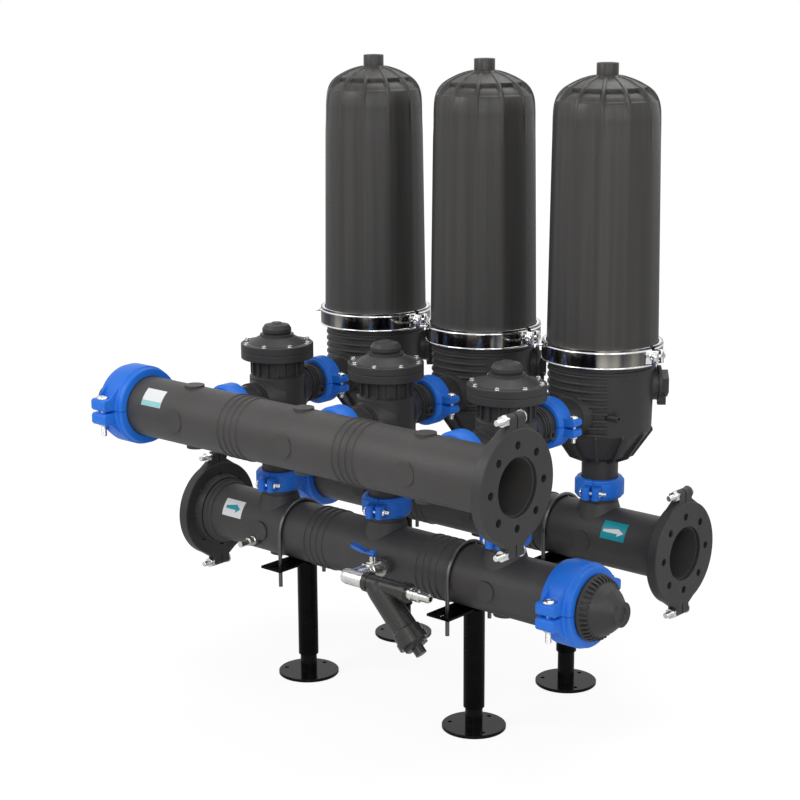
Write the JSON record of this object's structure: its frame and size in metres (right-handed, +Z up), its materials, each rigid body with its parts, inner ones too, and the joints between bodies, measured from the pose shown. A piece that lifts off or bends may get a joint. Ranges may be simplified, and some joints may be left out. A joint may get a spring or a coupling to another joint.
{
  "type": "disc filter battery",
  "caption": "Automatic disc filter battery for irrigation: tall black filter housings with backwash valves between split-flanged manifolds, joined by blue grooved couplings, on legs.",
  "frame": {"origin": "middle of the floor area, on the floor under the feet", "axes": "+X along the manifolds towards the outlet and drain flanges, +Y from the drain manifold to the filters, +Z up"},
  "size_m": [1.39, 0.931, 1.556],
  "materials": {
    "band_chrome": "polished",
    "bolt_steel": "bright zinc plate",
    "coupling_blue": "moulded, half gloss",
    "disc_plastic": "grooved moulded discs",
    "elbow_steel": "fine machined",
    "fitting_nickel": "nickel plated",
    "housing_plastic": "moulded black, softly textured",
    "inner_plastic": "moulded",
    "leg_paint": "gloss black paint",
    "lever_blue": "dipped vinyl grip on a plated plate",
    "rod_steel": "plated rod",
    "seal_rubber": "plain",
    "strainer_plastic": "moulded black"
  },
  "bodies": {
    "station": {"ball_valve_body": "fitting_nickel", "base_plugs": "housing_plastic", "bonnet_screws": "bolt_steel", "drain_end_cap": "housing_plastic", "drain_flange": "housing_plastic", "drain_manifold": "housing_plastic", "end_coupling_bolts": "bolt_steel", "end_couplings": "coupling_blue", "flange_bolts": "bolt_steel", "inlet_end_cap": "housing_plastic", "inlet_flange": "housing_plastic", "inlet_manifold": "housing_plastic", "joint_seals": "seal_rubber", "left_band_clamp": "band_chrome", "left_disc_spine": "inner_plastic", "left_disc_stack": "disc_plastic", "left_filter_base": "housing_plastic", "left_filter_cover": "housing_plastic", "left_valve_body": "housing_plastic", "left_valve_bonnet": "housing_plastic", "leg_sleeves": "leg_paint", "lower_port_couplings": "coupling_blue", "middle_band_clamp": "band_chrome", "middle_disc_spine": "inner_plastic", "middle_disc_stack": "disc_plastic", "middle_filter_base": "housing_plastic", "middle_filter_cover": "housing_plastic", "middle_valve_body": "housing_plastic", "middle_valve_bonnet": "housing_plastic", "outlet_end_cap": "housing_plastic", "outlet_flange": "housing_plastic", "outlet_manifold": "housing_plastic", "pipe_u_bolts": "rod_steel", "port_coupling_bolts": "bolt_steel", "right_band_clamp": "band_chrome", "right_disc_spine": "inner_plastic", "right_disc_stack": "disc_plastic", "right_filter_base": "housing_plastic", "right_filter_cover": "housing_plastic", "right_valve_body": "housing_plastic", "right_valve_bonnet": "housing_plastic", "strainer_body": "strainer_plastic", "strainer_cap": "strainer_plastic", "strainer_elbow": "elbow_steel", "strainer_screen": "fitting_nickel", "threaded_fittings": "fitting_nickel", "u_bolt_nuts": "bolt_steel", "upper_port_couplings": "coupling_blue"},
    "left_plunger": {"left_valve_plunger": "inner_plastic"},
    "left_piston": {"left_pressure_piston": "inner_plastic"},
    "middle_plunger": {"middle_valve_plunger": "inner_plastic"},
    "middle_piston": {"middle_pressure_piston": "inner_plastic"},
    "right_plunger": {"right_valve_plunger": "inner_plastic"},
    "right_piston": {"right_pressure_piston": "inner_plastic"},
    "front_left_foot_body": {"front_left_foot": "leg_paint"},
    "front_right_foot_body": {"front_right_foot": "leg_paint"},
    "rear_left_foot_body": {"rear_left_foot": "leg_paint"},
    "rear_right_foot_body": {"rear_right_foot": "leg_paint"},
    "ball_lever": {"ball_valve_lever": "lever_blue", "ball_valve_ball": "fitting_nickel"}
  },
  "joints": [
    {"name": "left_valve_stroke", "type": "slide", "parent": "station", "child": "left_plunger", "axis": [0, 0, -1], "range_m": [0, 0.038]},
    {"name": "middle_valve_stroke", "type": "slide", "parent": "station", "child": "middle_plunger", "axis": [0, 0, -1], "range_m": [0, 0.038]},
    {"name": "right_valve_stroke", "type": "slide", "parent": "station", "child": "right_plunger", "axis": [0, 0, -1], "range_m": [0, 0.038]},
    {"name": "left_disc_release", "type": "slide", "parent": "station", "child": "left_piston", "axis": [0, 0, 1], "range_m": [0, 0.04]},
    {"name": "middle_disc_release", "type": "slide", "parent": "station", "child": "middle_piston", "axis": [0, 0, 1], "range_m": [0, 0.04]},
    {"name": "right_disc_release", "type": "slide", "parent": "station", "child": "right_piston", "axis": [0, 0, 1], "range_m": [0, 0.04]},
    {"name": "front_left_foot_level", "type": "slide", "parent": "station", "child": "front_left_foot_body", "axis": [0, 0, -1], "range_m": [-0.04, 0.06]},
    {"name": "front_right_foot_level", "type": "slide", "parent": "station", "child": "front_right_foot_body", "axis": [0, 0, -1], "range_m": [-0.04, 0.06]},
    {"name": "rear_left_foot_level", "type": "slide", "parent": "station", "child": "rear_left_foot_body", "axis": [0, 0, -1], "range_m": [-0.04, 0.06]},
    {"name": "rear_right_foot_level", "type": "slide", "parent": "station", "child": "rear_right_foot_body", "axis": [0, 0, -1], "range_m": [-0.04, 0.06]},
    {"name": "ball_valve_turn", "type": "hinge", "parent": "station", "child": "ball_lever", "pos_m": [0.062, -0.173, 0.38], "axis": [0, 0, 1], "range_deg": [0, 90]}
  ]
}
